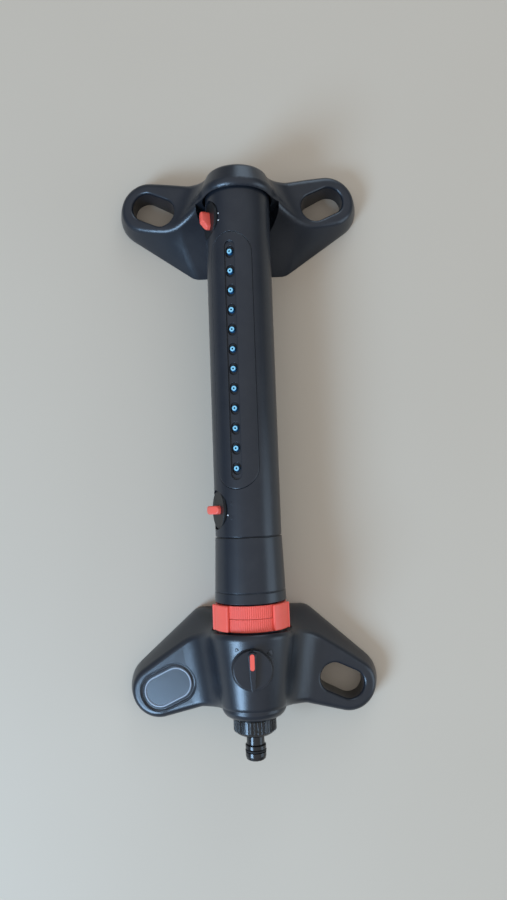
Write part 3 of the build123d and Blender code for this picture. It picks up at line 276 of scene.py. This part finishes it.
def steel(name):
    """Bright drawn steel with fine lengthwise lines."""
    finish, tree, shader = start_finish(name)
    lines = noise(tree, stretched(tree, object_place(tree), STEEL_SCALE), 1.0, detail=2)
    tree.links.new(blend_colours(tree, lines, STEEL_DARK, STEEL_LIGHT), shader.inputs["Base Color"])
    tree.links.new(spread(tree, lines, NOISE_RANGE, STEEL_ROUGH), shader.inputs["Roughness"])
    shader.inputs["Metallic"].default_value = 1.0
    return finish


# Finishes of the record's material slots, and of the trim

CHARCOAL = (0.0097, 0.0128, 0.0187)
GLOSS_BLACK = (0.006, 0.0064, 0.0075)
MATT_BLACK = (0.0052, 0.0058, 0.0068)
CORAL = (0.90, 0.113, 0.076)
SEAL_BLACK = (0.0022, 0.0026, 0.0034)
NATURAL = (0.78, 0.77, 0.72)
INNER_GREY = (0.22, 0.23, 0.25)
PLATE_GREY = (0.0108, 0.0143, 0.0208)
# light grey-blue of the badge rim: painted highlight, the light that the plate's rounded edge catches
RIM_HIGHLIGHT_GREY = (0.29, 0.33, 0.385)
PRINT_WHITE = (0.72, 0.72, 0.70)
MARK_GREY = (0.030, 0.035, 0.043)
FINE = 0.02 * MM  # grain of glossy plastic and trim

finishes = {
    "charcoal": plastic("charcoal_plastic", CHARCOAL, rough=0.31, worn=1.6, dust=0.04),
    "black": plastic("gloss_black_plastic", GLOSS_BLACK, rough=0.2, grain=FINE, streak=0.03, dust=0.03),
    "orange": plastic("coral_plastic", CORAL, rough=0.40, grain=0.03 * MM, worn=1.12),
    "blue_rubber": nozzle_rubber("blue_rubber"),
    "seal_rubber": rubber("seal_rubber", SEAL_BLACK, rough=0.6),
    "acetal": plastic("natural_plastic", NATURAL, rough=0.35, worn=1.05),
    "inner_grey": plastic("grey_plastic", INNER_GREY, rough=0.45, worn=1.1),
    "steel": steel("bright_steel"),
    "plate_grey": plastic("badge_plastic", PLATE_GREY, rough=0.29, worn=1.6, streak=0.008, dust=0.03),
}
rim_highlight_finish = plastic("rim_painted_highlight", RIM_HIGHLIGHT_GREY, rough=0.24, grain=FINE, worn=1.1)
print_finish = plastic("white_print", PRINT_WHITE, rough=0.5, grain=FINE, worn=1.0)
mark_finish = plastic("raised_mark", MARK_GREY, rough=0.34, grain=FINE, worn=1.2)
dial_finish = plastic("matt_black_plastic", MATT_BLACK, rough=0.46, worn=1.8, shine=0.32)

for part in frame["record"]["subparts"]:
    node = frame["nodes"][part["node"]]
    node.data.materials.clear()
    node.data.materials.append(finishes[part["material_slot"]])
for name in ("width_knob_front", "width_knob_rear"):
    frame["nodes"][name].data.materials[0] = dial_finish


# Meshes laid on the moulded faces

ABOVE = 1.0  # higher than any piece
BEAD_SIDES = 12
PAD_FOOT = 0.2 * MM  # pad's foot below the face that it stands on
# Section of a pad, as shares of its outline and of its height
PAD_SECTION = ((1.0, 0.15), (0.92, 0.7), (0.72, 1.0), (0.3, 1.0))
skins = {}


def skin(node, x, y):
    """Point and normal where a CAD node is met from above."""
    if node not in skins:
        depsgraph = bpy.context.evaluated_depsgraph_get()
        skins[node] = BVHTree.FromObject(frame["nodes"][node], depsgraph)
    point, normal, _, _ = skins[node].ray_cast(Vector((x, y, ABOVE)), Vector((0, 0, -1)))
    return point, normal


def swept(rings, closed):
    """Mesh through a row of rings; the row closes on itself or has capped ends."""
    mesh = bmesh.new()
    rows = [[mesh.verts.new(point) for point in ring] for ring in rings]
    nexts = rows[1:] + rows[:1] if closed else rows[1:]
    for first, second in zip(rows, nexts):
        for step in range(len(first)):
            after = (step + 1) % len(first)
            mesh.faces.new((first[step], first[after], second[after], second[step]))
    if not closed:
        mesh.faces.new(rows[0])
        mesh.faces.new(rows[-1])
    bmesh.ops.recalc_face_normals(mesh, faces=mesh.faces)
    return mesh


def add_piece(name, mesh, body, finish):
    """Smooth object from an edited mesh, riding on a body."""
    data = bpy.data.meshes.new(name)
    mesh.to_mesh(data)
    mesh.free()
    data.shade_smooth()
    data.materials.append(finish)
    piece = bpy.data.objects.new(name, data)
    bpy.context.scene.collection.objects.link(piece)
    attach(piece, body)


def bead(node, path, radius, closed):
    """Round bead half sunk in a node's upper face along a path."""
    spots = [skin(node, x, y) for x, y in path]
    last = len(spots) - 1
    turns = [2 * pi * step / BEAD_SIDES for step in range(BEAD_SIDES)]
    rings = []
    for index, (point, normal) in enumerate(spots):
        before = spots[index - 1][0] if closed or index else point
        after = spots[(index + 1) % len(spots)][0] if closed or index < last else point
        along = (after - before).normalized()
        side = along.cross(normal).normalized()
        up = side.cross(along)
        rings.append([point + side * radius * cos(turn) + up * radius * sin(turn) for turn in turns])
    return swept(rings, closed)


def pad(node, outline, centre, height):
    """Low raised pad with soft edges on a node's upper face."""
    levels = [(1.0, -PAD_FOOT)] + [(share, rise * height) for share, rise in PAD_SECTION]
    rings = []
    for share, lift in levels:
        ring = []
        for u, v in outline:
            point, normal = skin(node, centre[0] + share * u, centre[1] + share * v)
            ring.append(point + normal * lift)
        rings.append(ring)
    return swept(rings, False)


# Trim of the badge place

BADGE_X = -69.8 * MM
BADGE_Y = -188.25 * MM
BADGE_TILT = radians(27)
PLATE_LENGTH = 41.8 * MM
PLATE_WIDTH = 25.3 * MM
PLATE_DROP = 0.5 * MM  # plate's face below the wing's
CHANNEL = 3.6 * MM  # open channel round the badge plate
CHANNEL_DROP = 1.8 * MM  # channel's floor below the wing's
ARC_STEPS = 24  # in each round end of the badge
RIM_R = 0.82 * MM
RIM_INSET = 0.9 * MM  # rim's middle from the plate's edge
GROOVE_GAP = 0.1 * MM  # between the groove and the channel's sides
# Section of the groove: how far out from the plate, and the height from the wing's face
GROOVE_SECTION = (
    (GROOVE_GAP, -PLATE_DROP - 0.15 * MM),
    (0.28 * CHANNEL, -CHANNEL_DROP + 0.35 * MM),
    (0.5 * CHANNEL, -CHANNEL_DROP + 0.12 * MM),
    (0.72 * CHANNEL, -CHANNEL_DROP + 0.4 * MM),
    (CHANNEL - GROOVE_GAP, -0.3 * MM),
    (CHANNEL - GROOVE_GAP, -CHANNEL_DROP),
    (GROOVE_GAP, -CHANNEL_DROP),
)


def stadium(grown):
    """Plan of the badge plate grown all round, anticlockwise."""
    radius = PLATE_WIDTH / 2 + grown
    reach = (PLATE_LENGTH - PLATE_WIDTH) / 2
    plan = []
    for end in (1, -1):
        for step in range(ARC_STEPS + 1):
            turn = pi * step / ARC_STEPS - pi / 2
            u = end * (reach + radius * cos(turn))
            v = end * radius * sin(turn)
            x = BADGE_X + u * cos(BADGE_TILT) - v * sin(BADGE_TILT)
            y = BADGE_Y + u * sin(BADGE_TILT) + v * cos(BADGE_TILT)
            plan.append((x, y))
    return plan


def badge_groove():
    """Rounded valley that fills the channel round the badge plate."""
    spot, normal = skin("badge_plate", BADGE_X, BADGE_Y)
    rise = -normal.x / normal.z
    plans = [stadium(out) for out, _ in GROOVE_SECTION]
    rings = []
    for places in zip(*plans):
        ring = []
        for (x, y), (_, height) in zip(places, GROOVE_SECTION):
            z = spot.z + rise * (x - spot.x) + (height + PLATE_DROP) / normal.z
            ring.append(Vector((x, y, z)))
        rings.append(ring)
    return swept(rings, True)


# rim bead round the badge plate, coloured light as a painted highlight
badge_rim = bead("badge_plate", stadium(-RIM_INSET), RIM_R, True)
add_piece("badge_rim", badge_rim, "front_stand", rim_highlight_finish)
add_piece("badge_groove", badge_groove(), "front_stand", finishes["charcoal"])


# Water drops beside the flow knob

DROP_STEPS = 28
DROP_FULLNESS = 0.77  # brings the drop's widest place to its width
DROP_HEIGHT = 0.3 * MM
# Name, place, length, width, and the tip's turn in degrees from straight down
DROPS = (
    ("less_water_mark", (-11.6 * MM, -149.2 * MM), 3.6 * MM, 2.6 * MM, -38),
    ("more_water_mark", (13.6 * MM, -152.6 * MM), 5.0 * MM, 3.6 * MM, 38),
)


def drop(length, width, turn):
    """Outline of a water drop, its tip turned from straight down."""
    outline = []
    for step in range(DROP_STEPS):
        at = 2 * pi * step / DROP_STEPS
        u = DROP_FULLNESS * width * sin(at) * sin(at / 2) ** 2
        v = -length / 2 * cos(at)
        outline.append((u * cos(turn) - v * sin(turn), u * sin(turn) + v * cos(turn)))
    return outline


for name, place, length, width, turn in DROPS:
    mark = pad("front_stand", drop(length, width, radians(turn)), place, DROP_HEIGHT)
    add_piece(name, mark, "front_stand", mark_finish)


# Dots and fans of lines beside the width knobs

DOT_R = 0.6 * MM
DOT_STEPS = 20
DOT_HEIGHT = 0.1 * MM
DOT_X = -14.9 * MM
DOTS = (("front_dot", -50.0 * MM), ("rear_dot_near", 180.4 * MM), ("rear_dot_far", 186.0 * MM))
FAN_X = -12.0 * MM
FAN_START = 0.5 * MM  # from the fan's centre to its lines
FAN_STEP = 0.65 * MM
FAN_POINTS = 6
FAN_LINE_R = 0.22 * MM
FANS = (("narrow_fan_mark", -43.6 * MM, radians(9)), ("wide_fan_mark", -54.2 * MM, radians(24)))


def circle(radius):
    """Outline of a dot."""
    turns = [2 * pi * step / DOT_STEPS for step in range(DOT_STEPS)]
    return [(radius * cos(turn), radius * sin(turn)) for turn in turns]


def fan_line(y, turn):
    """Path of one line of a fan, turned from straight along the tube."""
    reaches = [FAN_START + FAN_STEP * step for step in range(FAN_POINTS)]
    return [(FAN_X + reach * sin(turn), y + reach * cos(turn)) for reach in reaches]


for name, y in DOTS:
    dot = pad("spray_tube", circle(DOT_R), (DOT_X, y), DOT_HEIGHT)
    add_piece(name, dot, "spray_tube", print_finish)

for name, y, angle in FANS:
    for side, lean in (("left", -1), ("middle", 0), ("right", 1)):
        line = bead("spray_tube", fan_line(y, lean * angle), FAN_LINE_R, False)
        add_piece(name + "_" + side, line, "spray_tube", mark_finish)


# Floor

FLOOR_SIZE = 40.0
FLOOR_DROP = 0.3 * MM  # under the stands
FLOOR_DARK = (0.53, 0.448, 0.352)
FLOOR_LIGHT = (0.565, 0.483, 0.383)
FLOOR_CLOUD_SCALE = 3.0
FLOOR_ROUGH = 0.7


def floor_finish():
    """Pale, even floor."""
    finish, tree, shader = start_finish("pale_floor")
    cloud = noise(tree, object_place(tree), FLOOR_CLOUD_SCALE, detail=3)
    tree.links.new(blend_colours(tree, cloud, FLOOR_DARK, FLOOR_LIGHT), shader.inputs["Base Color"])
    shader.inputs["Roughness"].default_value = FLOOR_ROUGH
    return finish


bpy.ops.mesh.primitive_plane_add(size=FLOOR_SIZE, location=(0, 0, -FLOOR_DROP))
floor = bpy.context.object
floor.name = "floor"
floor.data.materials.append(floor_finish())


# Light

DAYLIGHT = (0.43, 0.68, 1.0)
PALE_DAYLIGHT = (0.62, 0.80, 1.0)
ROOM_COLOUR = (0.96, 0.97, 1.0, 1.0)
ROOM_HEIGHTS = (0.1, 0.95)  # upward part of a direction, from near the horizon to overhead
ROOM_STRENGTHS = (0.18, 0.74)  # at those heights


def area_light(name, at, towards, size, power, colour):
    """Soft square light aimed at a point."""
    lamp = bpy.data.lights.new(name, "AREA")
    lamp.size = size
    lamp.energy = power
    lamp.color = colour
    holder = bpy.data.objects.new(name, lamp)
    bpy.context.scene.collection.objects.link(holder)
    holder.location = at
    holder.rotation_euler = (Vector(towards) - Vector(at)).to_track_quat("-Z", "Y").to_euler()


def room_light():
    """World light that grows from the horizon to overhead."""
    world = bpy.data.worlds.new("room")
    world.use_nodes = True
    tree = world.node_tree
    heading = tree.nodes.new("ShaderNodeTexCoord")
    parts = tree.nodes.new("ShaderNodeSeparateXYZ")
    tree.links.new(heading.outputs["Generated"], parts.inputs["Vector"])
    strength = spread(tree, parts.outputs["Z"], ROOM_HEIGHTS, ROOM_STRENGTHS)
    strength.node.interpolation_type = "SMOOTHSTEP"
    background = tree.nodes["Background"]
    background.inputs["Color"].default_value = ROOM_COLOUR
    tree.links.new(strength, background.inputs["Strength"])
    bpy.context.scene.world = world


area_light(
    "window",
    at=(-1.25, -1.1, 1.25),
    towards=(0, -0.05, 0.03),
    size=0.74,
    power=45.0,
    colour=DAYLIGHT,
)
area_light(
    "far_window",
    at=(1.7, -0.4, 0.55),
    towards=(0, -0.05, 0.04),
    size=1.0,
    power=8.0,
    colour=PALE_DAYLIGHT,
)
area_light(
    "end_window",
    at=(0.5, 1.9, 0.7),
    towards=(0, 0.15, 0.05),
    size=1.1,
    power=10.5,
    colour=PALE_DAYLIGHT,
)
room_light()


# Camera

IMAGE_HEIGHT = 900  # pixels
FOCAL_LENGTH = 676  # pixels
SENSOR_HEIGHT = 36.0
CAMERA_AT = (6.3 * MM, -37.10 * MM, 585 * MM)
CAMERA_PITCH = radians(4.0)
CAMERA_ROLL = radians(-2.04)

lens = bpy.data.cameras.new("camera")
lens.sensor_fit = "VERTICAL"
lens.sensor_height = SENSOR_HEIGHT
lens.lens = FOCAL_LENGTH / IMAGE_HEIGHT * SENSOR_HEIGHT
lens.clip_start = 10 * MM
camera = bpy.data.objects.new("camera", lens)
bpy.context.scene.collection.objects.link(camera)
tilt = Matrix.Rotation(CAMERA_PITCH, 4, "X") @ Matrix.Rotation(CAMERA_ROLL, 4, "Z")
camera.matrix_world = Matrix.Translation(CAMERA_AT) @ tilt
bpy.context.scene.camera = camera
bpy.context.scene.view_settings.view_transform = "Standard"
